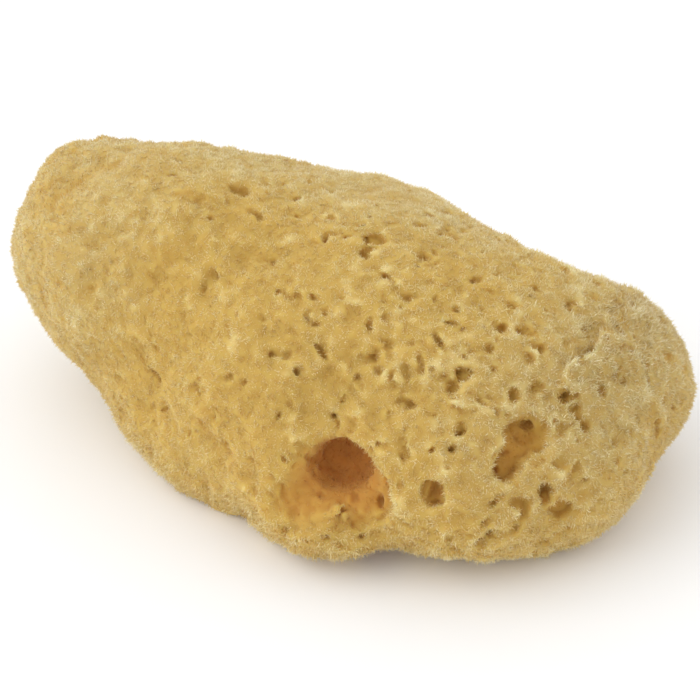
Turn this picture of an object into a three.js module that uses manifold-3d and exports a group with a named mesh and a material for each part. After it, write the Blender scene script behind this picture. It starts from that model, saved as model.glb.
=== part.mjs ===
// A natural bath sponge, one soft body of spongin fibre that lies on the flat cut where it left its rock.
// The body is a blend of egg-shaped lobes. Wide canals open on every side of it, and each mouth (an
// osculum) is cut as an egg-shaped hollow. The fine fibres and pores of the skin are not solids.
//
// Millimetres, +Z up, and the origin is under the middle of the body, on the plane of the base.
// +X runs along the body to its blunt end, and -Y is the front, the side with the deep hollow.
import * as THREE from "three";
import { mergeVertices } from "three/addons/utils/BufferGeometryUtils.js";
import Module from "manifold-3d";

const wasm = await Module();
wasm.setup();

// ---- Driving dimensions, mm and degrees ----

// Each lobe has its centre, its half sizes, and its turn about Z.
const LOBES = [
  { at: [-2, 9, 28], half: [60, 33, 28], turn: 0 }, // the long back that joins all the others
  { at: [-38, -5, 34], half: [35, 28, 26], turn: 10 }, // the high narrow end
  { at: [-62, -2, 33], half: [13, 15, 22], turn: 0 }, // its rounded tip
  { at: [39, 8, 18], half: [33, 34, 31], turn: 20 }, // the blunt end
  { at: [57, 23, 20], half: [17, 21, 20], turn: -10 }, // its back shoulder
  { at: [60, 0, 17], half: [14, 15, 14], turn: 0 }, // its low front corner
  { at: [-4, -15, 17], half: [34, 24, 32], turn: -10 }, // the full front
  { at: [-22, -21, 12], half: [24, 13, 13], turn: -15 }, // the front foot, left
  { at: [20, -25, 14], half: [18, 20, 16], turn: -10 }, // the front foot, left of the cleft
  { at: [11, -6, 26], half: [28, 21, 23], turn: 0 }, // the slope from the top to the front
  { at: [33, -13, 22], half: [20, 18, 15], turn: 0 }, // the slope above the cleft
  { at: [47, -13, 17], half: [15, 22, 16], turn: -15 }, // the front foot, right of the cleft
  { at: [8, 28, 16], half: [44, 17, 17], turn: 0 }, // the low back
];
const BLEND = 10; // how softly one lobe runs into the next
const CORE = [0, 7, 24]; // a point inside, from which all of the skin can be seen
const REACH = 110; // farther from the core than any skin
const SKIN_DETAIL = 15; // rows of facets on each face of the skin's icosahedron
const SKIN_STEP = 2; // how far apart the skin is first looked for
const SKIN_TOLERANCE = 0.001; // how closely it is then found
const SLOPE_STEP = 0.1; // half the distance over which the skin's slope is measured

// The skin rises and falls by slow waves: height, then waves per mm along X, Y and Z.
const SWELLS = [
  { height: 0.4, wave: [0.13, 0.07, 0.1] },
  { height: 0.3, wave: [-0.09, 0.19, 0.15] },
  { height: 0.2, wave: [0.27, -0.12, 0.23] },
];

// The hollows. "along" is the place on X. "around" is the way out from the core's line: 0 is the front, 90
// the top, 180 the back and -90 the base. "size" is the width along the body, the width across, and the
// depth. "turn" swings the mouth about its own axis, and "lean" tips its floor towards the base.
const HOLLOWS = [
  // The deep hollow, the slope that opens its left side, the small mouth under it, and the cleft below
  { along: 28, around: 2, size: [14, 12, 15], turn: 20, lean: -18 },
  { along: 23, around: -2, size: [13, 8, 5], turn: 15, lean: 0 },
  { along: 31, around: -10, size: [6, 3.4, 6], turn: 15, lean: 0 },
  { along: 33, around: -31, size: [11, 9, 7], turn: 0, lean: 0 },
  // The double mouth on the front of the blunt end
  { along: 57, around: 24, size: [7, 8, 13], turn: 0, lean: 15 },
  { along: 57, around: 13, size: [6, 8, 12], turn: 0, lean: 5 },
  // Single mouths on the front
  { along: 46, around: 2, size: [5, 5, 5], turn: 0, lean: 0 },
  { along: 67, around: -14, size: [4, 3.4, 6], turn: 30, lean: 0 },
  { along: 64, around: 0, size: [3.4, 4.4, 6], turn: 0, lean: 0 },
  { along: 57, around: -12, size: [3.2, 3.2, 5], turn: 0, lean: 0 },
  { along: 5, around: -22, size: [5, 4, 7], turn: 0, lean: 10 },
  // The top
  { along: 43, around: 40, size: [3.6, 3.6, 6], turn: 0, lean: 0 },
  { along: -20, around: 78, size: [4.6, 3, 6], turn: 10, lean: 0 },
  { along: 12, around: 80, size: [4, 3.4, 6], turn: -20, lean: 0 },
  // The back
  { along: -32, around: 150, size: [9, 8, 13], turn: 15, lean: 8 },
  { along: -8, around: 128, size: [6, 5, 9], turn: -10, lean: 0 },
  { along: 14, around: 160, size: [7, 9, 12], turn: 20, lean: 0 },
  { along: 36, around: 134, size: [8, 7, 12], turn: 0, lean: 5 },
  { along: 40, around: 148, size: [6, 5, 9], turn: -30, lean: 0 },
  { along: 54, around: 172, size: [5, 6, 8], turn: 0, lean: 0 },
  // The base, where the cut laid the canals open
  { along: -12, around: -96, size: [8, 7, 10], turn: 0, lean: 0 },
  { along: 20, around: -118, size: [9, 7, 11], turn: 25, lean: 0 },
  { along: 44, around: -84, size: [7, 8, 9], turn: -15, lean: 0 },
];
const HOLLOW_DETAIL = [2, 3]; // rows of facets on each face of a small and of a large hollow's icosahedron
const LARGE = 7; // a hollow at least this wide is a large one
const SUNK = 0.06; // how far a hollow's middle sits under the skin, as a part of its depth

const COLOUR = 0xcdae6b; // honey yellow
const SLAB = 400; // a block of this size stands in for all that is under the base

// ---- The skin ----

/** Distance-like value of one lobe: negative inside it. */
function lobeField(point, { at, half, turn }) {
  const offset = point.clone().sub(new THREE.Vector3(...at));
  offset.applyAxisAngle(new THREE.Vector3(0, 0, 1), -THREE.MathUtils.degToRad(turn));
  const size = new THREE.Vector3(...half);
  const scaled = offset.divide(size);
  const reach = scaled.length();
  const slope = scaled.clone().divide(size).length();
  return (reach * (reach - 1)) / slope;
}

/** The height of the slow waves at a point. */
function swell(point) {
  let height = 0;
  for (const { height: top, wave } of SWELLS) {
    height += top * Math.sin(point.dot(new THREE.Vector3(...wave)));
  }
  return height;
}

/** Negative inside the body and positive outside: all the lobes, softly joined, and the waves. */
function bodyField(point) {
  let field = lobeField(point, LOBES[0]);
  for (const lobe of LOBES.slice(1)) {
    const next = lobeField(point, lobe);
    const share = THREE.MathUtils.clamp(0.5 + (field - next) / (2 * BLEND), 0, 1);
    field = THREE.MathUtils.lerp(field, next, share) - BLEND * share * (1 - share);
  }
  return field - swell(point);
}

/** The point of the skin straight out from a start point that is inside the body. */
function skinPoint(start, direction) {
  const pointAt = (distance) => start.clone().addScaledVector(direction, distance);
  let inside = 0;
  while (bodyField(pointAt(inside + SKIN_STEP)) < 0 && inside < REACH) {
    inside += SKIN_STEP;
  }
  let outside = inside + SKIN_STEP;
  while (outside - inside > SKIN_TOLERANCE) {
    const middle = (inside + outside) / 2;
    if (bodyField(pointAt(middle)) < 0) {
      inside = middle;
    } else {
      outside = middle;
    }
  }
  return pointAt(outside);
}

/** The skin's outward direction at a point. */
function skinNormal(point) {
  const slope = new THREE.Vector3();
  for (const axis of ["x", "y", "z"]) {
    const ahead = point.clone();
    const behind = point.clone();
    ahead[axis] += SLOPE_STEP;
    behind[axis] -= SLOPE_STEP;
    slope[axis] = bodyField(ahead) - bodyField(behind);
  }
  return slope.normalize();
}

/** The whole skin, before the base is cut: a ball of facets drawn out to the body. */
function skinGeometry() {
  const geometry = closedGeometry(new THREE.IcosahedronGeometry(1, SKIN_DETAIL));
  const places = geometry.getAttribute("position");
  const core = new THREE.Vector3(...CORE);
  for (let i = 0; i < places.count; i += 1) {
    const direction = new THREE.Vector3().fromBufferAttribute(places, i).normalize();
    const point = skinPoint(core, direction);
    places.setXYZ(i, point.x, point.y, point.z);
  }
  return geometry;
}

// ---- The hollows ----

/** One egg-shaped hollow, in its place on the skin. */
function hollowGeometry({ along, around, size, turn, lean }) {
  const [width, height, depth] = size;
  const detail = HOLLOW_DETAIL[width < LARGE ? 0 : 1];
  const geometry = closedGeometry(new THREE.IcosahedronGeometry(0.5, detail));
  const degrees = THREE.MathUtils.degToRad;
  const start = new THREE.Vector3(along, CORE[1], CORE[2]);
  const outward = new THREE.Vector3(0, -Math.cos(degrees(around)), Math.sin(degrees(around)));
  let mouth = skinPoint(start, outward);
  let normal = skinNormal(mouth);
  if (mouth.z < 0) {
    mouth = start.clone().addScaledVector(outward, CORE[2] / -outward.z);
    normal = new THREE.Vector3(0, 0, -1);
  }

  // Its own Z points out of the mouth, and its own X lies as near to the body's X as it can.
  const tall = new THREE.Vector3().crossVectors(normal, new THREE.Vector3(1, 0, 0)).normalize();
  const wide = new THREE.Vector3().crossVectors(tall, normal);
  const frame = new THREE.Matrix4().makeBasis(wide, tall, normal);
  frame.multiply(new THREE.Matrix4().makeRotationX(degrees(-lean)));
  frame.multiply(new THREE.Matrix4().makeRotationZ(degrees(turn)));
  frame.multiply(new THREE.Matrix4().makeScale(width, height, 2 * depth));
  const middle = mouth.clone().addScaledVector(normal, -SUNK * depth);
  geometry.applyMatrix4(frame);
  geometry.translate(middle.x, middle.y, middle.z);
  return geometry;
}

// ---- Solids ----

/** The same shape with each shared corner stored once, which a closed solid needs. */
function closedGeometry(geometry) {
  geometry.deleteAttribute("normal");
  geometry.deleteAttribute("uv");
  return mergeVertices(geometry);
}

function toSolid(geometry) {
  const vertProperties = Float32Array.from(geometry.getAttribute("position").array);
  const triVerts = Uint32Array.from(geometry.index.array);
  return new wasm.Manifold(new wasm.Mesh({ numProp: 3, vertProperties, triVerts }));
}

function toGeometry(solid) {
  const { vertProperties, triVerts } = solid.getMesh();
  const geometry = new THREE.BufferGeometry();
  geometry.setAttribute("position", new THREE.BufferAttribute(vertProperties, 3));
  geometry.setIndex(new THREE.BufferAttribute(triVerts, 1));
  return geometry;
}

/** The sponge: its skin, cut flat at the base, with every hollow taken out. */
function spongeGeometry() {
  const rock = closedGeometry(new THREE.BoxGeometry(SLAB, SLAB, SLAB).translate(0, 0, -SLAB / 2));
  let body = toSolid(skinGeometry()).subtract(toSolid(rock));
  for (const hollow of HOLLOWS) {
    body = body.subtract(toSolid(hollowGeometry(hollow)));
  }
  const geometry = toGeometry(body);
  geometry.computeBoundingBox();
  const middle = geometry.boundingBox.getCenter(new THREE.Vector3());
  return geometry.translate(-middle.x, -middle.y, 0);
}

const material = new THREE.MeshStandardMaterial({ color: COLOUR, roughness: 0.95, metalness: 0 });
const sponge = new THREE.Mesh(spongeGeometry(), material);
sponge.name = "sponge";

const group = new THREE.Group();
group.add(sponge);

export default group;
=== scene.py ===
"""A natural bath sponge on a pale floor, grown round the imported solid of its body.

The solid is turned into a field of distances. Lumps, canal mouths, pores and pits are carved into that
field, and its surface becomes one closed mesh. Fine tapered fibres of spongin then cover the mesh.
Lengths are in millimetres until a mesh is made, and the meshes are in metres.
"""
import math

import bpy
import numpy as np
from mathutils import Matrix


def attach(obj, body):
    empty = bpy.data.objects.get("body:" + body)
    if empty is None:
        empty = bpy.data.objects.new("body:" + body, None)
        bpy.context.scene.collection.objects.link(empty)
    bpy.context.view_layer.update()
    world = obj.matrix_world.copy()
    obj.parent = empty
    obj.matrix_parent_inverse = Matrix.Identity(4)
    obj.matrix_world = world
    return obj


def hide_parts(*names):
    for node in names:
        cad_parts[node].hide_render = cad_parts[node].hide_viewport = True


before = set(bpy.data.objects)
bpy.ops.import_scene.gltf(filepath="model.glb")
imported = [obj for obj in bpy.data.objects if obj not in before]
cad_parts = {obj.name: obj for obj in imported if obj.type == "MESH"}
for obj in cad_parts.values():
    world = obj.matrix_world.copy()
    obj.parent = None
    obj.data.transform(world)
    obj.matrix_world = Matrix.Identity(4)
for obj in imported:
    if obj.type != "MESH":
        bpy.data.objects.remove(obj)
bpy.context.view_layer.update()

import openvdb
from mathutils import Vector

MM = 0.001
rng = np.random.default_rng(7)

# ---- The camera: where the sponge is seen from ----

VIEW_TURN = 32  # degrees round from the front, towards the blunt end
VIEW_HEIGHT = 36  # degrees up
VIEW_DISTANCE = 366
VIEW_TARGET = (4.5, 4.5, 21)
LENS = 85

# ---- The field ----

CELL = 0.42  # the side of a cell of the fine field
COARSE_CELL = 1.2  # the same, of the field that measures how deep the hollows are
MARGIN = 4  # room round the body
BAND = 9  # the fine field's distances are true this far from the solid's surface
FACET_BLUR = 1.3  # how widely the solid's flat facets are smoothed away
BRIDGED = 8  # a hollow narrower than twice this is filled in before depths are measured
DEEPEST = 24  # depths are true down to here
CORE = (0, 7, 24)  # a line along X through here is inside the body from end to end
WAY_OUT = 80  # farther from that line than any skin
LAST_CELL = 1.001  # a place is read this many cells or more before the end of the grid
BLUR_REACH = 2.5  # how many standard deviations a blur takes in
NOISE_SPREAD = 2.2  # how many standard deviations of a noise make its height


class Field:
    """Values on a regular grid round the body: where it starts, in cells, its array and its cell."""

    def __init__(self, start, values, cell=CELL):
        self.start = start
        self.values = values
        self.cell = cell

    def axes(self, window=None):
        """The X, Y and Z of the grid, or of a window of it, shaped to be combined."""
        window = window or tuple(slice(0, n) for n in self.values.shape)
        found = []
        for axis in range(3):
            places = (np.arange(window[axis].start, window[axis].stop) + self.start[axis]) * self.cell
            shape = [1, 1, 1]
            shape[axis] = -1
            found.append(places.astype(np.float32).reshape(shape))
        return found

    def window(self, centre, reach):
        """The slices of the grid that hold a box round a point."""
        cells = []
        for axis in range(3):
            low = int((centre[axis] - reach) / self.cell) - self.start[axis]
            high = int((centre[axis] + reach) / self.cell) + 2 - self.start[axis]
            size = self.values.shape[axis]
            cells.append(slice(min(max(low, 0), size), min(max(high, 0), size)))
        return tuple(cells)

    def at(self, points):
        """The value at each point, read between the cells."""
        place = points / self.cell - np.array(self.start)
        place = np.clip(place, 0, np.array(self.values.shape) - LAST_CELL)
        cell = place.astype(int)
        share = (place - cell).astype(np.float32)
        total = np.zeros(len(points), np.float32)
        for dx in (0, 1):
            for dy in (0, 1):
                for dz in (0, 1):
                    weight = np.abs(1 - dx - share[:, 0])
                    weight = weight * np.abs(1 - dy - share[:, 1]) * np.abs(1 - dz - share[:, 2])
                    total += weight * self.values[cell[:, 0] + dx, cell[:, 1] + dy, cell[:, 2] + dz]
        return total

    def slopes(self, points):
        """The unit direction in which the field grows, at each point."""
        steps = np.eye(3) * self.cell
        found = [self.at(points + step) - self.at(points - step) for step in steps]
        return unit(np.stack(found, 1))


def unit(vectors):
    return vectors / (np.linalg.norm(vectors, axis=-1, keepdims=True) + 1e-9)


def rise(values, low, high):
    """0 below the low value and 1 above the high one, with a soft rise between them."""
    share = np.clip((values - low) / (high - low), 0, 1)
    return share * share * (3 - 2 * share)


def read_field(grid, low, high, cell):
    """A field read from a grid, over the box between two corners."""
    start = [int(i) for i in np.floor(low / cell)]
    stop = [int(i) for i in np.ceil(high / cell)]
    values = np.empty([b - a for a, b in zip(start, stop)], np.float32)
    grid.copyToArray(values, ijk=tuple(start))
    return Field(start, values, cell)


def solid_fields():
    """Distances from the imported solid's surface, and from the same solid with its hollows filled in."""
    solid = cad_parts["sponge"].data
    points = np.empty(len(solid.vertices) * 3, np.float32)
    solid.vertices.foreach_get("co", points)
    points = points.reshape(-1, 3) / MM
    solid.calc_loop_triangles()
    triangles = np.empty(len(solid.loop_triangles) * 3, np.int32)
    solid.loop_triangles.foreach_get("vertices", triangles)
    triangles = triangles.reshape(-1, 3).astype(np.uint32)
    level_set = openvdb.FloatGrid.createLevelSetFromPolygons
    low, high = points.min(0) - MARGIN, points.max(0) + MARGIN

    even = openvdb.createLinearTransform(CELL)
    grid = level_set(points, triangles, transform=even, halfWidth=BAND / CELL)
    near = read_field(grid, low, high, CELL)

    even = openvdb.createLinearTransform(COARSE_CELL)
    grid = level_set(points, triangles, transform=even, halfWidth=(BRIDGED + 2) / COARSE_CELL)
    outside, quads = grid.convertToQuads(BRIDGED)
    grid = level_set(
        outside,
        quads=quads,
        transform=even,
        exBandWidth=2.0,
        inBandWidth=(BRIDGED + DEEPEST) / COARSE_CELL,
    )
    filled = read_field(grid, low, high, COARSE_CELL)
    filled.values += BRIDGED
    return near, filled


def blurred(values, width):
    """The values of the fine field, softened over a width."""
    sigma = width / CELL / 2
    reach = max(1, int(round(BLUR_REACH * sigma)))
    taps = np.exp(-0.5 * (np.arange(-reach, reach + 1) / sigma) ** 2)
    taps = (taps / taps.sum()).astype(np.float32)
    for axis in range(3):
        padding = [(0, 0)] * 3
        padding[axis] = (reach, reach)
        padded = np.pad(values, padding, mode="edge")
        total = np.zeros_like(values)
        for i, tap in enumerate(taps):
            window = [slice(None)] * 3
            window[axis] = slice(i, i + values.shape[axis])
            total += tap * padded[tuple(window)]
        values = total
    return values


def spline_rows(count, spacing):
    """Cubic B-spline weights that carry knots at a spacing onto a number of cells."""
    knots = int(count * CELL / spacing) + 5
    place = np.arange(count) * CELL / spacing + 1
    rows = np.zeros((count, knots), np.float32)
    for step in range(-1, 3):
        knot = place.astype(int) + step
        away = np.abs(place - knot)
        near = 2 / 3 - away**2 + away**3 / 2
        far = (2 - away) ** 3 / 6
        rows[np.arange(count), knot] = np.where(away < 1, near, np.where(away < 2, far, 0))
    return rows


def soft_noise(shape, spacing):
    """Smooth noise of about -1 to 1 over the fine grid, with lumps about two spacings wide."""
    rows = [spline_rows(n, spacing) for n in shape]
    knots = rng.standard_normal([r.shape[1] for r in rows]).astype(np.float32)
    found = np.tensordot(rows[0], knots, (1, 0))
    found = np.tensordot(rows[1], found, (1, 1)).transpose(1, 0, 2)
    found = np.tensordot(found, rows[2], (2, 1))
    return found / (NOISE_SPREAD * found.std())


def layered_noise(shape, layers):
    """Layers of noise added up, each with its own height and spacing."""
    return sum(height * soft_noise(shape, spacing) for height, spacing in layers)


# ---- The body's larger forms ----


def frame_of(normal, turn=0.0):
    """Three axes of a mouth: across, up and out."""
    normal = np.asarray(normal, float)
    up = unit(np.cross(normal, (1, 0, 0)))
    across = np.cross(up, normal)
    angle = math.radians(turn)
    first = across * math.cos(angle) + up * math.sin(angle)
    return first, np.cross(normal, first), normal


def skin_place(skin, along, around):
    """The point of the skin at a distance along X and an angle up from the front, and its normal."""
    angle = math.radians(around)
    ray = np.array((0, -math.cos(angle), math.sin(angle)))
    steps = np.arange(0, WAY_OUT, CELL / 2)[:, None]
    points = np.array((along, CORE[1], CORE[2])) + steps * ray
    point = points[np.argmax(skin.at(points) > 0)]
    return point, skin.slopes(point[None])[0]


# Each swelling: its place along X, its degrees up from the front, its height, and its width.
SWELLINGS = [
    (18, 8, 1.5, 4.5),  # the pale lip to the left of the deep hollow
    (27, 15, 1.3, 3.5),  # the lip that hangs over it
    (40, -3, 1.2, 4.5),  # the smooth bridge to its right
    (34, 10, 0.9, 3.5),  # the rim between the two
    (6, -8, 1.2, 6.0),  # the full skin of the front foot
    (60, 22, 0.8, 3.0),  # the bridges round the double mouth
    (48, 10, 0.7, 3.0),
]
SWELLING_REACH = 2.6  # a swelling has died out this many of its widths away

# The fold of skin on the blunt end
LEDGE_PLACE = 60  # along X, where the skin steps up
LEDGE_HEIGHT = 2.0
LEDGE_EDGE = 0.7  # half the width of the step
LEDGE_RUN = 8  # how far the raised skin takes to fall back
LEDGE_WANDER = 2.5  # how far the step strays from its place
LEDGE_WAVE = 4  # the spacing of the noise that it strays by
LEDGE_STARTS = (38, 58)  # the degrees up from the front over which it rises out of the skin
LEDGE_ENDS = (98, 120)  # and over which it sinks back

FLOOR = 2.1  # how deep the soft floor of an ordinary hollow lies
# Each deeper hollow: its place along X, its degrees up from the front, how far round it reaches, and how
# deep its floor lies.
DEEP_FLOORS = [
    (27, 0, 16, 9.5),  # the deep hollow
    (56, 18, 11, 4.2),  # the double mouth
    (33, -31, 10, 7.0),  # the cleft
]
# Each soft dip: its place along X, its degrees up from the front, its width, height and depth, and its
# turn.
DIPS = [
    (22, -6, 14, 9, 4.6, 15),  # the slope that opens the left side of the deep hollow
    (34, -3, 11, 10, 6, -30),  # the slope that opens it downwards, to the right
    (23, 4, 10, 5, 4.5, 20),  # the slope under the pale lip
    (59, 23, 7, 8, 5.5, 0),  # the wider top of the double mouth
]
DIP_RIM = 2.0  # how soft the rims of the dips are
# The rounded rim of the deep hollow: its place, its degrees, how far the rounding reaches, and how wide it is
SOFT_RIM = (26, -2, 15, 3.0)
ROUNDED = 0.6  # the part of that reach that is rounded in full


def resampled(coarse, start, shape):
    """A coarse field's values on the fine grid."""
    values = coarse.values
    for axis in range(3):
        place = (np.arange(shape[axis]) + start[axis]) * CELL / coarse.cell - coarse.start[axis]
        place = np.clip(place, 0, values.shape[axis] - LAST_CELL)
        low = place.astype(int)
        share = (place - low).astype(np.float32)
        share = share.reshape([-1 if k == axis else 1 for k in range(3)])
        values = values.take(low, axis) * (1 - share) + values.take(low + 1, axis) * share
    return values


def add_floors(skin, filled):
    """Soft fibre fills each hollow up to its floor."""
    depth = np.full(skin.values.shape, FLOOR, np.float32)
    for along, around, reach, deeper in DEEP_FLOORS:
        centre, _ = skin_place(filled, along, around)
        depth[skin.window(centre, reach)] = deeper
    floor = resampled(filled, skin.start, skin.values.shape) + depth
    skin.values = np.minimum(skin.values, floor)


def soften_rim(skin, filled):
    """Rounds the rim of the deep hollow."""
    along, around, reach, width = SOFT_RIM
    centre, _ = skin_place(filled, along, around)
    x, y, z = (g - c for g, c in zip(skin.axes(), centre))
    share = 1 - rise(np.sqrt(x * x + y * y + z * z), ROUNDED * reach, reach)
    skin.values += (share * (blurred(skin.values, width) - skin.values)).astype(np.float32)


def add_swellings(skin, filled):
    """Raises the lips and bridges between the hollows."""
    for along, around, height, width in SWELLINGS:
        centre, _ = skin_place(filled, along, around)
        window = skin.window(centre, SWELLING_REACH * width)
        offset = [g - c for g, c in zip(skin.axes(window), centre)]
        away = offset[0] ** 2 + offset[1] ** 2 + offset[2] ** 2
        skin.values[window] -= height * np.exp(-away / (2 * (width / 2) ** 2))


def add_ledge(skin, wander):
    """A fold of skin that wanders over the blunt end, from the top down to the front."""
    x, y, z = skin.axes()
    around = np.degrees(np.arctan2(z - CORE[2], CORE[1] - y))
    held = rise(around, *LEDGE_STARTS) * (1 - rise(around, *LEDGE_ENDS))
    past = x - LEDGE_PLACE + LEDGE_WANDER * wander
    step = rise(past, -LEDGE_EDGE, LEDGE_EDGE) * np.exp(-np.maximum(past, 0) / LEDGE_RUN)
    skin.values -= (LEDGE_HEIGHT * held * step).astype(np.float32)


# ---- Canal mouths and pores ----

WARP_ROOM = 1.5  # room round a hollow for its edge to be shifted in


def carve(field, warp, centre, axes, half, softness):
    """Cuts an egg-shaped hollow with a soft rim. Its half sizes lie along three axes."""
    window = field.window(centre, max(half) + WARP_ROOM)
    if min(s.stop - s.start for s in window) < 2:
        return
    places = [g + w[window] for g, w in zip(field.axes(window), warp)]
    offset = [p - c for p, c in zip(places, centre)]
    total = 0
    for axis, size in zip(axes, half):
        along = offset[0] * axis[0] + offset[1] * axis[1] + offset[2] * axis[2]
        total = total + (along / size) ** 2
    hollow = (1 - np.sqrt(total)) * min(half)
    old = field.values[window]
    share = np.clip(0.5 + (hollow - old) / (2 * softness), 0, 1)
    field.values[window] = old + (hollow - old) * share + softness * share * (1 - share)


# Each mouth: its place along X, its degrees up from the front, its width, height and depth, and its turn.
MOUTHS = [
    # The blunt end, from the front foot up
    (56, -14, 3.0, 2.8, 3.5, 0),
    (61, -13, 2.6, 3.0, 3.5, 20),
    (57, 0, 1.8, 2.8, 4.0, 0),
    (62, -6, 2.4, 4.6, 3.0, 10),
    (65, 14, 1.9, 3.2, 3.5, 0),
    (62, 14, 1.8, 3.0, 2.0, 0),
    (68, 9, 2.4, 3.4, 2.0, 15),
    (47, 21, 1.8, 3.2, 2.0, 0),
    (47, 15, 1.8, 1.8, 2.5, 0),
    (66, 33, 2.0, 3.0, 3.0, 20),
    (64, 41, 2.6, 3.2, 2.5, 20),
    (61, 46, 3.2, 2.8, 3.0, -10),
    (66, 63, 2.8, 2.6, 2.5, 0),
    (49, 32, 2.4, 2.2, 4.0, 0),
    (53, 38, 2.6, 3.4, 2.5, 10),
    (56, 46, 2.2, 3.6, 2.5, 0),
    (42, 34, 3.0, 2.8, 3.0, 0),
    # The slope above the deep hollow
    (26, 14, 2.4, 2.0, 3.5, -20),
    (35, 24, 5.0, 2.0, 2.5, 10),
    (16, 31, 4.6, 2.0, 3.0, -25),
    (23, 22, 2.6, 1.6, 2.0, -30),
    (12, 39, 3.6, 1.8, 3.0, -25),
    (5, 44, 2.8, 1.4, 2.5, -30),
    (10, 27, 1.8, 1.6, 2.5, 0),
    # Slanting channels
    (28, 38, 4.6, 1.5, 2.2, -50),
    (33, 33, 5.0, 1.6, 2.2, -45),
    (35, 38, 3.8, 1.5, 2.0, -50),
    (23, 43, 4.2, 1.5, 2.0, -55),
    (36, 48, 3.4, 1.8, 2.0, -40),
    # The top
    (13, 72, 4.2, 2.6, 3.0, -60),
    (4, 71, 2.8, 2.0, 3.0, -50),
    (20, 64, 4.6, 1.6, 2.5, -20),
    (17, 61, 3.4, 1.4, 2.0, 20),
    (26, 61, 2.6, 2.4, 2.5, 0),
    (45, 54, 2.2, 2.0, 2.5, 0),
    (45, 66, 2.4, 3.0, 3.0, -20),
    (49, 70, 4.0, 2.6, 2.5, 20),
    (54, 65, 2.4, 2.2, 2.0, 0),
    (-12, 69, 3.0, 1.8, 2.5, -20),
    # Under the deep hollow
    (28, -13, 1.8, 1.6, 4.0, 0),
    (37, -10, 2.0, 1.6, 4.0, 0),
    (20, -12, 1.8, 1.6, 3.0, 0),
]


MOUTH_RIM = 0.6  # how soft the rims of the mouths are
MOUTH_SUNK = 0.2  # how far the middle of a mouth sits under the skin
MOUTH_DEPTH = 0.65  # how deep it is cut below its middle, as a part of its depth
MOUTH_STEEP = 0.7  # and at most, as a part of the smaller of its width and height


def carve_mouths(field, skin, warp, mouths, rim):
    """Cuts each mouth of a list into the field, square to the skin."""
    for along, around, width, height, depth, turn in mouths:
        point, normal = skin_place(skin, along, around)
        axes = frame_of(normal, turn)
        reach = min(MOUTH_DEPTH * depth, MOUTH_STEEP * min(width, height))
        carve(field, warp, point - normal * MOUTH_SUNK, axes, (width / 2, height / 2, reach), rim)


# Each kind of pore: how many, how far apart, where along X it is thickest and how far it spreads from
# there, its width, how many times longer it is, its turn, its depth, and the softness of its rim.
PORES = [
    {"count": 95, "gap": 5.0, "thick": 60, "spread": 22, "width": (1.5, 2.8), "longer": (1.0, 1.5),
     "turn": (-90, 90), "depth": (0.5, 1.3), "rim": 0.7},
    {"count": 150, "gap": 4.2, "thick": 20, "spread": 24, "width": (1.1, 2.0), "longer": (1.3, 2.4),
     "turn": (-65, -15), "depth": (0.4, 0.9), "rim": 0.7},
    {"count": 45, "gap": 6.0, "thick": -35, "spread": 30, "width": (1.4, 2.4), "longer": (1.2, 2.2),
     "turn": (-60, 20), "depth": (0.3, 0.6), "rim": 0.7},
    {"count": 500, "gap": 2.4, "thick": 48, "spread": 32, "width": (0.9, 1.4), "longer": (1.0, 1.6),
     "turn": (-90, 90), "depth": (0.3, 0.8), "rim": 0.35},
]


def scattered(points, count, gap, weight):
    """Picks up to a number of the points, no two closer than a gap, the weightier ones oftener."""
    order = np.argsort(rng.random(len(points)) ** (1 / np.maximum(weight, 1e-6)))[::-1]
    taken = {}
    picked = []
    cells = np.floor(points / gap).astype(int)
    for i in order:
        cell = tuple(cells[i])
        near = (
            taken.get((cell[0] + dx, cell[1] + dy, cell[2] + dz), ())
            for dx in (-1, 0, 1)
            for dy in (-1, 0, 1)
            for dz in (-1, 0, 1)
        )
        if any(np.sum((points[j] - points[i]) ** 2) < gap * gap for group in near for j in group):
            continue
        taken.setdefault(cell, []).append(i)
        picked.append(i)
        if len(picked) == count:
            break
    return np.array(picked)


PORE_LEAN = 0.3  # how far a pore leans away from square, at random


def carve_pores(field, warp, places, normals):
    """Scatters every kind of pore over places of the skin."""
    for kind in PORES:
        weight = np.exp(-0.5 * ((places[:, 0] - kind["thick"]) / kind["spread"]) ** 2)
        for i in scattered(places, kind["count"], kind["gap"], weight):
            width = rng.uniform(*kind["width"])
            tilt = unit(normals[i] + PORE_LEAN * rng.standard_normal(3))
            axes = frame_of(tilt, rng.uniform(*kind["turn"]))
            half = (width / 2 * rng.uniform(*kind["longer"]), width / 2, rng.uniform(*kind["depth"]))
            carve(field, warp, places[i], axes, half, kind["rim"])


BASE_PORES = 130
BASE_GAP = 5
BASE_BORDER = 1.5  # no canal opens nearer than this to the edge of the cut
BASE_LIFT = 0.02  # how far above the floor the cut lies
BASE_LEAN = 0.2
BASE_RIM = 0.2
BASE_WIDTH = (1.2, 3.4)
BASE_LONGER = (1, 1.6)
BASE_DEPTH = (1.5, 4)
CELLS_UP = 2  # how many cells above the floor the outline of the cut is read


def cut_base(field, warp):
    """Cuts the body off flat just above the floor, and opens the canals that the cut crosses."""
    level = CELLS_UP - field.start[2]
    x, y, z = field.axes()
    inside = np.argwhere(field.values[:, :, level] < -BASE_BORDER)
    places = np.stack([x.ravel()[inside[:, 0]], y.ravel()[inside[:, 1]], np.zeros(len(inside))], 1)
    field.values = np.maximum(field.values, BASE_LIFT - z)
    for i in scattered(places, BASE_PORES, BASE_GAP, np.ones(len(places))):
        width = rng.uniform(*BASE_WIDTH)
        lean = (BASE_LEAN * rng.standard_normal(), BASE_LEAN * rng.standard_normal())
        axes = frame_of((*lean, -1), rng.uniform(0, 180))
        half = (width / 2 * rng.uniform(*BASE_LONGER), width / 2, rng.uniform(*BASE_DEPTH))
        carve(field, warp, places[i], axes, half, BASE_RIM)


# ---- Meshes ----


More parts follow.
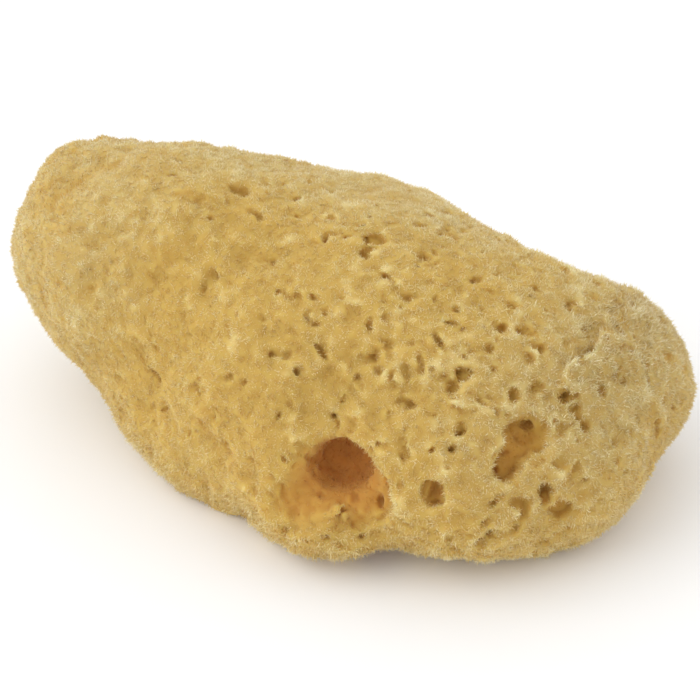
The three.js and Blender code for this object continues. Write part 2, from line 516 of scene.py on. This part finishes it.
def surface(field):
    """The surface where the values are zero, as corners in mm and four-sided faces."""
    grid = openvdb.FloatGrid(10.0)
    grid.transform = openvdb.createLinearTransform(CELL)
    grid.copyFromArray(np.ascontiguousarray(field.values), ijk=tuple(field.start))
    return grid.convertToQuads(0.0)


def largest_piece(points, quads):
    """Only the faces that hang together with most of the others: no bubbles and no crumbs."""
    label = np.arange(len(points))
    edges = np.concatenate([quads[:, [0, 1]], quads[:, [1, 2]], quads[:, [2, 3]], quads[:, [3, 0]]])
    while True:
        low = np.minimum(label[edges[:, 0]], label[edges[:, 1]])
        before = label.copy()
        np.minimum.at(label, edges[:, 0], low)
        np.minimum.at(label, edges[:, 1], low)
        label = label[label]
        if np.array_equal(label, before):
            break
    main = np.bincount(label).argmax()
    kept = label == main
    number = np.cumsum(kept) - 1
    faces = quads[kept[quads[:, 0]]]
    return points[kept], number[faces]


def new_mesh(name, points, faces, sides, smooth=True):
    """A mesh of faces that all have the same number of sides, from points in mm."""
    mesh = bpy.data.meshes.new(name)
    mesh.vertices.add(len(points))
    mesh.vertices.foreach_set("co", (points * MM).astype(np.float32).ravel())
    mesh.loops.add(faces.size)
    mesh.loops.foreach_set("vertex_index", faces.astype(np.int32).ravel())
    mesh.polygons.add(len(faces))
    mesh.polygons.foreach_set("loop_start", np.arange(0, faces.size, sides, dtype=np.int32))
    mesh.polygons.foreach_set("use_smooth", np.full(len(faces), smooth))
    mesh.update(calc_edges=True)
    mesh.validate()
    return mesh


def place_object(name, mesh):
    piece = bpy.data.objects.new(name, mesh)
    bpy.context.scene.collection.objects.link(piece)
    return piece


BODY_TRIANGLES = 196_000


def simplified(piece, triangles):
    """Reduces a piece to a number of triangles."""
    piece.data.calc_loop_triangles()
    modifier = piece.modifiers.new("fewer", "DECIMATE")
    modifier.ratio = min(1, triangles / len(piece.data.loop_triangles))
    modifier.use_collapse_triangulate = True
    graph = bpy.context.evaluated_depsgraph_get()
    mesh = bpy.data.meshes.new_from_object(piece.evaluated_get(graph))
    piece.modifiers.clear()
    piece.data = mesh
    return piece


def corner_points(mesh):
    """The places in mm of the three corners of each triangle of a mesh."""
    points = np.empty(len(mesh.vertices) * 3, np.float32)
    mesh.vertices.foreach_get("co", points)
    corners = np.empty(len(mesh.loops), np.int32)
    mesh.loops.foreach_get("vertex_index", corners)
    return points.reshape(-1, 3)[corners].reshape(-1, 3, 3) / MM


def vertex_points(mesh):
    found = np.empty(len(mesh.vertices) * 3, np.float32)
    mesh.vertices.foreach_get("co", found)
    return found.reshape(-1, 3) / MM


def write_looks(mesh, tone, hue):
    """Stores the two values that the material reads, and a map laid out by them for a bake."""
    values = {"tone": np.clip(tone, 0.01, 0.99), "hue": np.clip(hue, 0.01, 0.99)}
    for name, numbers in values.items():
        layer = mesh.attributes.new(name, "FLOAT", "POINT")
        layer.data.foreach_set("value", numbers.astype(np.float32))
    corners = np.empty(len(mesh.loops), np.int32)
    mesh.loops.foreach_get("vertex_index", corners)
    places = np.stack([values["hue"][corners], values["tone"][corners]], 1)
    layer = mesh.uv_layers.new(name="OFBake")
    layer.uv.foreach_set("vector", places.astype(np.float32).ravel())


# ---- Making the body ----

# Layers of noise, each with its height and its spacing
LUMPS = [(0.6, 6), (0.48, 2.4)]
BUMPS = [(0.26, 1.1), (0.12, 0.65)]
WARPS = [(0.55, 1.6), (0.25, 0.8)]  # how far the edges of mouths and pores are shifted
POROUS_ABOVE = 0.8  # pores open higher than this above the floor
POROUS_DEPTH = 8  # and no deeper than this in a hollow

skin, filled = solid_fields()
shape = skin.values.shape
skin.values = blurred(skin.values, FACET_BLUR)
add_floors(skin, filled)
add_swellings(skin, filled)
add_ledge(skin, soft_noise(shape, LEDGE_WAVE))
skin.values -= layered_noise(shape, LUMPS).astype(np.float32)
warp = [layered_noise(shape, WARPS) for _ in range(3)]
carve_mouths(skin, filled, warp, DIPS, DIP_RIM)
soften_rim(skin, filled)

places, _ = surface(skin)
normals = skin.slopes(places)
porous = (places[:, 2] > POROUS_ABOVE) & (filled.at(places) > -POROUS_DEPTH)
places, normals = places[porous], normals[porous]

body_field = Field(skin.start, skin.values.copy())
carve_mouths(body_field, skin, warp, MOUTHS, MOUTH_RIM)
carve_pores(body_field, warp, places, normals)
body_field.values -= layered_noise(shape, BUMPS)
cut_base(body_field, warp)

body = place_object("sponge_body", new_mesh("sponge_body", *largest_piece(*surface(body_field)), 4))
simplified(body, BODY_TRIANGLES)

# ---- How light the spongin is, with painted light and shade, and how it is tinted ----

# Each region begins at the first number and is in full from the second, along one axis.
LOW_FRONT_OUT = (12, 32)  # out to the front
LOW_FRONT_TOP = (22, 38)  # up, where it fades away again
DARK_TIP = (-60, -30)  # along X, where it fades away
DARK_END = (40, 75)  # along X
BEIGE_END = (25, 75)  # along X
BEIGE_END_UP = (12, 45)
BEIGE_TOP_UP = (42, 60)
BEIGE_TOP_BACK = (-15, 25)  # along Y
BEIGE_TIP = (-50, -5)  # along X, where it fades away

# The tone, from 0 for the darkest to 1 for the lightest; painted light and painted shade are part of it
PLAIN_TONE = 0.54
RIDGE_TONE = 0.3  # painted light on ridges and painted shade where the skin lies low: added for each mm that the skin stands above its close surroundings
SWELL_TONE = 0.05  # and above its wide surroundings
CREST_TONE = 0.22  # the most that the two together add
MOTTLE_TONE = 0.08
PIT_TONE = 0.12  # painted shade: taken away for each mm down in a pore
HOLLOW_TONE = 0.08  # and down in a hollow, as painted shade
LOW_FRONT_TONE = 0.05  # painted shade, taken away in a region
TIP_TONE = 0.06
# painted shade on the blunt end, the side away from the key light
END_TONE = 0.05

# The tint, from 0 for the red of painted shade, through 0.5 for honey, to 1 for beige
HONEY = 0.5
# Beige is partly the spongin's paler tint and partly painted sheen, the pale rim that light gives at grazing
# angles
END_BEIGE = 0.4  # added on the blunt end and on the top
TIP_BEIGE = 0.28
LOW_BEIGE = 0.35  # how much of its beige the blunt end keeps low down
PIT_FADE = 0.4  # the part of the beige that is lost for each mm down in a pore
PIT_SHADE_RED = 0.04  # painted shade: taken away for each mm down in a pore, towards red
HOLLOW_SHADE_RED = 0.045  # painted shade, and down in a hollow
# painted shade of the low front, towards red
LOW_FRONT_SHADE_RED = 0.05
MOTTLE_TINT = 0.03

DARKEST_PIT = 2  # a pore's painted shade gets no darker below this depth
DARK_DEPTH, DARK_RANGE = 1, 10  # a hollow's painted shade gets darker from this depth on, over this range
SHADE_RED_DEPTH, SHADE_RED_RANGE = 2, 8  # and redder, as painted shade
RIM_DEPTH = 0.5  # the inside of a canal mouth counts as a pore from this depth on
MOTTLE = [(1, 1.5), (0.6, 8)]  # layers of noise: height and spacing
CLOSE_WIDTH = 1.8  # how widely the body is softened to find its close surroundings
WIDE_WIDTH = 4.5  # and its wide ones

close = Field(skin.start, blurred(body_field.values, CLOSE_WIDTH))
wide = Field(skin.start, blurred(body_field.values, WIDE_WIDTH))
mottle = Field(skin.start, layered_noise(shape, MOTTLE))


def low_front(points):
    """How far a point belongs to the low front, where painted shade makes it darker and redder."""
    return rise(-points[:, 1], *LOW_FRONT_OUT) * (1 - rise(points[:, 2], *LOW_FRONT_TOP))


def pit_at(points):
    """How deep a point lies in a pore or in the mouth of a canal."""
    return np.maximum(np.maximum(-skin.at(points), -filled.at(points) - RIM_DEPTH), 0)


def tone_at(points):
    """How light the spongin is painted: lightest on ridges with painted light, darkest down in the pores and
    hollows with painted shade, and darker on the low front and the blunt end with painted shade.
    """
    # Painted shade: darker down in pores and hollows
    pit = np.minimum(pit_at(points), DARKEST_PIT)
    hollow = np.clip(-filled.at(points) - DARK_DEPTH, 0, DARK_RANGE)
    # Painted light on ridges, painted shade where the skin lies below its surroundings
    crest = np.minimum(RIDGE_TONE * close.at(points) + SWELL_TONE * wide.at(points), CREST_TONE)
    tip = 1 - rise(points[:, 0], *DARK_TIP)
    end = rise(points[:, 0], *DARK_END)
    tone = PLAIN_TONE + crest - LOW_FRONT_TONE * low_front(points) - TIP_TONE * tip - END_TONE * end
    return tone + MOTTLE_TONE * mottle.at(points) - PIT_TONE * pit - HOLLOW_TONE * hollow


def hue_at(points):
    """How the spongin is tinted: painted shade turns it red in the deep hollow, and beige at the ends and on
    the top is partly painted sheen.
    """
    pit = np.minimum(pit_at(points), DARKEST_PIT)
    hollow = np.clip(-filled.at(points) - SHADE_RED_DEPTH, 0, SHADE_RED_RANGE)
    up = LOW_BEIGE + (1 - LOW_BEIGE) * rise(points[:, 2], *BEIGE_END_UP)
    end = rise(points[:, 0], *BEIGE_END) * up
    top = rise(points[:, 2], *BEIGE_TOP_UP) * rise(points[:, 1], *BEIGE_TOP_BACK)
    tip = 1 - rise(points[:, 0], *BEIGE_TIP)
    beige = np.maximum(END_BEIGE * np.maximum(end, top), TIP_BEIGE * tip)
    # Painted shade: redder down in pores and hollows and on the low front
    shade_red = PIT_SHADE_RED * pit + HOLLOW_SHADE_RED * hollow + LOW_FRONT_SHADE_RED * low_front(points)
    return HONEY + beige * (1 - PIT_FADE * pit) - shade_red + MOTTLE_TINT * mottle.at(points)


body_points = vertex_points(body.data)
write_looks(body.data, tone_at(body_points), hue_at(body_points))

# ---- Fibres ----

SIDES = 3  # the sides of a fibre
TAPER = 0.35  # how much of its width a fibre has lost at its bend
LOWEST = 0.03  # no fibre comes nearer to the floor
SIDE_TONE = 0.008  # how much a fibre's sides differ in tone and tint, so that its map has an area


def tapered(name, paths, widths, tone, hue):
    """Closed fibres, each along its own path of points, from a root of its own width to a sharp tip."""
    count, steps, _ = paths.shape
    first = unit(paths[:, 1] - paths[:, 0])
    side = unit(np.cross(first, rng.standard_normal((count, 3))))
    up = np.cross(first, side)
    rings = []
    for step in range(steps - 1):
        reach = widths / 2 * (1 - TAPER * step)
        for k in range(SIDES):
            angle = 2 * math.pi * k / SIDES
            out = side * math.cos(angle) + up * math.sin(angle)
            rings.append(paths[:, step] + out * reach[:, None])
    rings.append(paths[:, -1])
    points = np.stack(rings, 1)
    size = points.shape[1]

    faces = [(2, 1, 0)]
    for step in range(steps - 1):
        for k in range(SIDES):
            low, low_next = step * SIDES + k, step * SIDES + (k + 1) % SIDES
            if step == steps - 2:
                faces.append((low, low_next, size - 1))
            else:
                faces.append((low, low_next, low_next + SIDES))
                faces.append((low, low_next + SIDES, low + SIDES))
    faces = np.array(faces)[None] + np.arange(count)[:, None, None] * size
    points[:, :, 2] = np.maximum(points[:, :, 2], LOWEST)
    mesh = new_mesh(name, points.reshape(-1, 3), faces.reshape(-1, 3), 3, smooth=False)
    steps_of = np.minimum(np.arange(size) // SIDES, steps - 1)
    around = SIDE_TONE * (np.arange(size) % SIDES)
    write_looks(mesh, (tone[:, steps_of] + around).ravel(), (hue[:, None] + around).ravel())
    return place_object(name, mesh)


def roots_on(corners, count, weight):
    """Random points on triangles, the weightier ones oftener."""
    across = np.cross(corners[:, 1] - corners[:, 0], corners[:, 2] - corners[:, 0])
    total = np.cumsum(np.linalg.norm(across, axis=1) * weight)
    chosen = np.searchsorted(total, rng.random(count) * total[-1])
    share = rng.random((count, 2))
    folded = share.sum(1) > 1
    share[folded] = 1 - share[folded]
    base = corners[chosen, 0]
    first = (corners[chosen, 1] - base) * share[:, :1]
    return base + first + (corners[chosen, 2] - base) * share[:, 1:]


TUFT_GAP = 1.7  # how far apart the tufts are
TUFT_STRAY = 0.5  # how much of the warp bends the tufts' even places
MANY = 4096  # more tufts than there are in a row


def tuft_centres(roots):
    """For each root, the middle of the tuft that it belongs to."""
    bent = roots + TUFT_STRAY * np.stack([field.at(roots) for field in warp_fields], 1)
    cells = np.floor(bent / TUFT_GAP).astype(np.int64)
    keys = (cells[:, 0] * MANY + cells[:, 1]) * MANY + cells[:, 2]
    _, number = np.unique(keys, return_inverse=True)
    total = np.bincount(number)
    return np.stack([(np.bincount(number, roots[:, k]) / total)[number] for k in range(3)], 1)


ABOVE_CUT = (0.4, 1.0)  # up, from where no fibres grow to where all do
THINNED, THINNED_DEPTHS = 0.6, (0.5, 2.0)  # how much thinner they get in a pore, and over which depths
REGROWN, REGROWN_DEPTHS = 0.4, (3, 5)  # how much thicker again on the walls of a deep hollow


def cover_of(middles):
    """How thickly fibres grow on each face: thinner in pores, and none on the cut base."""
    pit = pit_at(middles)
    thickness = 1 - THINNED * rise(pit, *THINNED_DEPTHS) + REGROWN * rise(pit, *REGROWN_DEPTHS)
    return rise(middles[:, 2], *ABOVE_CUT) * thickness


SURROUNDINGS = 2.2  # how widely the body is softened to find which way its fibres point
warp_fields = [Field(skin.start, values) for values in warp]
soft_body = Field(skin.start, blurred(body_field.values, SURROUNDINGS))
corners = corner_points(body.data)
middles = corners.mean(1)
cover = cover_of(middles)


# Each shaggy region begins at the first number and is in full from the second, along one axis.
SHAGGY_END = (0, 60)  # along X
LEDGE_SIDE = (55, 60)  # along X
LEDGE_UP = (30, 40)
FOOT_OUT = (22, 34)  # out to the front
FOOT_UP = (1, 5)
FOOT_TOP = (8, 18)  # up, where it fades away again
END_SHAGGY = 0.3  # how shaggy the end is
MOST_SHAGGY = 0.6  # and the other two regions


def shaggy_at(points):
    """Where the fibres are longer: at the blunt end, along the ledge and on the front foot."""
    ledge = rise(points[:, 0], *LEDGE_SIDE) * rise(points[:, 2], *LEDGE_UP)
    foot = rise(-points[:, 1], *FOOT_OUT) * (1 - rise(points[:, 2], *FOOT_TOP))
    foot = foot * rise(points[:, 2], *FOOT_UP)
    end = rise(points[:, 0], *SHAGGY_END)
    return np.clip(END_SHAGGY * end + MOST_SHAGGY * ledge + MOST_SHAGGY * foot, 0, 1)


PORE_SHADE, SHADED_DEPTHS = 0.8, (0.3, 1.5)  # how much lightness is lost in a pore, over which depths


def openness(points):
    """1 on open skin, and less down in a pore, where the fibres get no painted light and are as dark as the
    painted shade of its walls.
    """
    return 1 - PORE_SHADE * rise(pit_at(points), *SHADED_DEPTHS)


ROOT_TONE = 0.1  # painted light: how much lighter than the skin a fibre's root is
TINT_SPREAD = 0.04  # how much the fibres differ in tint

FELT_LENGTH = (0.5, 1.2)
FELT_WIDTH = (0.18, 0.28)
FELT_LIGHTER = (0.15, 0.38)  # painted light: how much lighter than the skin a tip is
FELT_OUT = 0.55  # how strongly it points out of the skin
FELT_ANYHOW = 0.75  # and how strongly any way at all
FELT_SUNK = 0.08


def felt(name, count):
    """Short straight fibres that lie nearly flat, crossing each other."""
    roots = roots_on(corners, count, cover)
    normals = soft_body.slopes(roots)
    ways = unit(FELT_OUT * normals + FELT_ANYHOW * unit(rng.standard_normal((count, 3))))
    length = rng.uniform(*FELT_LENGTH, count)
    starts = roots - FELT_SUNK * normals
    paths = np.stack([starts, starts + ways * length[:, None]], 1)
    tone = tone_at(roots)
    share = openness(roots)
    # Painted light: fibres lighter than the skin towards their tips, and none in pores
    tones = np.stack([tone + ROOT_TONE * share, tone + rng.uniform(*FELT_LIGHTER, count) * share], 1)
    hue = hue_at(roots) + rng.normal(0, TINT_SPREAD, count)
    return tapered(name, paths, rng.uniform(*FELT_WIDTH, count), tones, hue)


TUFT_LENGTH = (0.6, 1.1)
TUFT_WIDTH = (0.17, 0.27)
TUFT_LIGHTER = (0.15, 0.32)  # painted light: how much lighter than the skin a tip is
TUFT_SMOOTH = 0.5  # how thickly tufts grow where the skin is not shaggy
TUFT_SHORT = 0.9  # their length there, as a part of their length; where it is shaggy, it is 1 more
PORE_SHORT, SHORT_DEPTHS = 0.5, (0.5, 2)  # how much shorter they get in a pore, over which depths
TUFT_STRAGGLE = 0.5  # how strongly each half of a fibre points any way at all
TUFT_OUT = 0.7  # how strongly its tip points out of the skin
TUFT_LEAN = 0.8  # how strongly its tip leans to the middle of its tuft
BEND_LIGHTER = 0.6  # the part of its painted light that it has at its bend
TUFT_SUNK = 0.12
TUFT_HALVES = (0.5, 0.6)  # the parts of its length before and after its bend
BRIGHT_SHARE = 0.15  # the part of the fibres that are bright
BRIGHT_SHAGGY = 0.2  # more, where they are shaggy
BRIGHT_TONE = 0.22  # painted light: how much lighter the bright ones are
BRIGHT_TINT = 0.08  # how much nearer to beige
BRIGHT_WIDER = 0.2


def tufts(name, count):
    """Longer bent fibres that lean together into small tufts."""
    roots = roots_on(corners, count, cover * (TUFT_SMOOTH + (1 - TUFT_SMOOTH) * shaggy_at(middles)))
    normals = soft_body.slopes(roots)
    inward = tuft_centres(roots) - roots
    shaggy = shaggy_at(roots)
    length = rng.uniform(*TUFT_LENGTH, count) * (TUFT_SHORT + shaggy)
    length = length * (1 - PORE_SHORT * rise(pit_at(roots), *SHORT_DEPTHS))
    first = unit(normals + TUFT_STRAGGLE * rng.standard_normal((count, 3)))
    straggle = TUFT_STRAGGLE * rng.standard_normal((count, 3))
    second = unit(TUFT_OUT * normals + TUFT_LEAN * inward + straggle)
    starts = roots - TUFT_SUNK * normals
    bends = starts + first * (TUFT_HALVES[0] * length)[:, None]
    tips = bends + second * (TUFT_HALVES[1] * length)[:, None]
    tone = tone_at(roots)
    bright = rng.random(count) < BRIGHT_SHARE + BRIGHT_SHAGGY * shaggy
    share = openness(roots)
    # Painted light on the fibres, most on their tips and on the bright ones, and none in pores
    lift = (rng.uniform(*TUFT_LIGHTER, count) + BRIGHT_TONE * bright) * share
    tones = np.stack([tone + ROOT_TONE * share, tone + BEND_LIGHTER * lift, tone + lift], 1)
    hue = hue_at(roots) + rng.normal(0, TINT_SPREAD, count) + BRIGHT_TINT * bright
    widths = rng.uniform(*TUFT_WIDTH, count) * (1 + BRIGHT_WIDER * bright)
    return tapered(name, np.stack([starts, bends, tips], 1), widths, tones, hue)


FELT_FIBRES = 49_900  # a piece, at four triangles each
TUFT_FIBRES = 19_900  # a piece, at ten triangles each
fibres = []
for number in (1, 2):
    fibres.append(felt(f"sponge_felt_{number}", FELT_FIBRES))
    fibres.append(tufts(f"sponge_tufts_{number}", TUFT_FIBRES))

# ---- Materials ----

# Each tint of the spongin, from its darkest tone to its lightest: the tone, and its colour.
TINTS = {
    # The red tint is painted shade, for pores, hollows and the low front
    "shade_red": [(0.0, (0.56, 0.235, 0.050)), (0.4, (0.58, 0.300, 0.075)), (1.0, (0.82, 0.500, 0.150))],
    "honey": [
        (0.0, (0.52, 0.300, 0.058)),
        (0.35, (0.58, 0.370, 0.085)),
        (0.62, (0.59, 0.395, 0.102)),
        (1.0, (0.90, 0.790, 0.410)),
    ],
    "beige": [
        (0.0, (0.56, 0.340, 0.085)),
        (0.35, (0.58, 0.385, 0.110)),
        (0.62, (0.55, 0.425, 0.180)),
        (1.0, (0.88, 0.800, 0.500)),
    ],
}


# The tints meet between these values of the hue.
SHADE_RED_TO_HONEY = (0.1, 0.45)
HONEY_TO_BEIGE = (0.55, 0.95)

ROUGHNESS = 0.9
SPECULAR = 0.2
SHEEN_ROUGHNESS = 0.5
SHEEN_TINT = (1.0, 0.93, 0.78, 1)


def read_value(tree, name):
    """A value that is stored on the mesh."""
    node = tree.nodes.new("ShaderNodeAttribute")
    node.attribute_name = name
    return node.outputs["Fac"]


def tint_ramp(tree, stops, tone):
    """A tint as a ramp over the tone."""
    node = tree.nodes.new("ShaderNodeValToRGB")
    ramp = node.color_ramp
    ramp.elements[0].position, ramp.elements[0].color = stops[0][0], (*stops[0][1], 1)
    ramp.elements[1].position, ramp.elements[1].color = stops[-1][0], (*stops[-1][1], 1)
    for place, colour in stops[1:-1]:
        ramp.elements.new(place).color = (*colour, 1)
    tree.links.new(tone, node.inputs["Fac"])
    return node.outputs["Color"]


def mixed(tree, first, second, value, low, high):
    """One colour below the low value, the other above the high one."""
    share = tree.nodes.new("ShaderNodeMapRange")
    share.inputs["From Min"].default_value = low
    share.inputs["From Max"].default_value = high
    tree.links.new(value, share.inputs["Value"])
    mix = tree.nodes.new("ShaderNodeMix")
    mix.data_type = "RGBA"
    tree.links.new(share.outputs["Result"], mix.inputs["Factor"])
    tree.links.new(first, mix.inputs["A"])
    tree.links.new(second, mix.inputs["B"])
    return mix.outputs["Result"]


def spongin(name, softness, depth, spread, sheen):
    """Spongin: its colour follows its tone and hue, and light passes a little way into it.

    The softness is the part of the light that does, the depth in metres is how far, and the spread is how
    far red, green and blue go of that.
    """
    material = bpy.data.materials.new(name)
    material.use_nodes = True
    tree = material.node_tree
    shader = tree.nodes["Principled BSDF"]
    shader.inputs["Roughness"].default_value = ROUGHNESS
    shader.inputs["Specular IOR Level"].default_value = SPECULAR
    shader.inputs["Sheen Weight"].default_value = sheen
    shader.inputs["Sheen Roughness"].default_value = SHEEN_ROUGHNESS
    shader.inputs["Sheen Tint"].default_value = SHEEN_TINT
    shader.inputs["Subsurface Weight"].default_value = softness
    shader.inputs["Subsurface Radius"].default_value = spread
    shader.inputs["Subsurface Scale"].default_value = depth
    tone = read_value(tree, "tone")
    hue = read_value(tree, "hue")
    shade_red, honey, beige = (tint_ramp(tree, stops, tone) for stops in TINTS.values())
    warm = mixed(tree, shade_red, honey, hue, *SHADE_RED_TO_HONEY)
    tree.links.new(mixed(tree, warm, beige, hue, *HONEY_TO_BEIGE), shader.inputs["Base Color"])
    return material


def finish_piece(piece, material):
    """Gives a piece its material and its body."""
    piece.data.materials.clear()
    piece.data.materials.append(material)
    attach(piece, "root")


finish_piece(body, spongin("spongin", softness=0.7, depth=0.005, spread=(1.0, 0.7, 0.4), sheen=0.15))
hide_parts("sponge")
fibre_material = spongin("spongin_fibre", softness=0.7, depth=0.0003, spread=(1.0, 1.0, 1.0), sheen=0.1)
for piece in fibres:
    finish_piece(piece, fibre_material)

# ---- The stage ----

FLOOR_SIZE = 6  # metres
FLOOR_GREY = 0.95
SENSOR = 36
NEAREST = 0.01  # metres
LIGHT_PLACE = (-0.5, -0.6, 0.8)  # metres
LIGHT_SIZE = 0.9
LIGHT_POWER = 4
SURROUND = 0.98  # the strength of the even light from all round


def add_floor():
    bpy.ops.mesh.primitive_plane_add(size=FLOOR_SIZE)
    floor = bpy.context.object
    floor.name = "floor"
    material = bpy.data.materials.new("floor")
    material.use_nodes = True
    shader = material.node_tree.nodes["Principled BSDF"]
    shader.inputs["Base Color"].default_value = (FLOOR_GREY, FLOOR_GREY, FLOOR_GREY, 1)
    shader.inputs["Roughness"].default_value = ROUGHNESS
    floor.data.materials.append(material)


def add_camera():
    turn, height = math.radians(VIEW_TURN), math.radians(VIEW_HEIGHT)
    flat = math.cos(height)
    back = Vector((math.sin(turn) * flat, -math.cos(turn) * flat, math.sin(height)))
    data = bpy.data.cameras.new("camera")
    data.lens = LENS
    data.sensor_width = SENSOR
    data.clip_start = NEAREST
    camera = bpy.data.objects.new("camera", data)
    bpy.context.scene.collection.objects.link(camera)
    camera.location = (Vector(VIEW_TARGET) + back * VIEW_DISTANCE) * MM
    camera.rotation_euler = back.to_track_quat("Z", "Y").to_euler()
    bpy.context.scene.camera = camera


def add_light(name, place, size, power):
    data = bpy.data.lights.new(name, "AREA")
    data.size = size
    data.energy = power
    light = bpy.data.objects.new(name, data)
    bpy.context.scene.collection.objects.link(light)
    light.location = place
    light.rotation_euler = Vector(place).to_track_quat("Z", "Y").to_euler()


def add_world(strength):
    world = bpy.data.worlds.new("world")
    world.use_nodes = True
    background = world.node_tree.nodes["Background"]
    background.inputs["Color"].default_value = (1, 1, 1, 1)
    background.inputs["Strength"].default_value = strength
    bpy.context.scene.world = world


add_floor()
add_camera()
add_light("key", LIGHT_PLACE, LIGHT_SIZE, LIGHT_POWER)
add_world(SURROUND)
bpy.context.scene.view_settings.view_transform = "Standard"
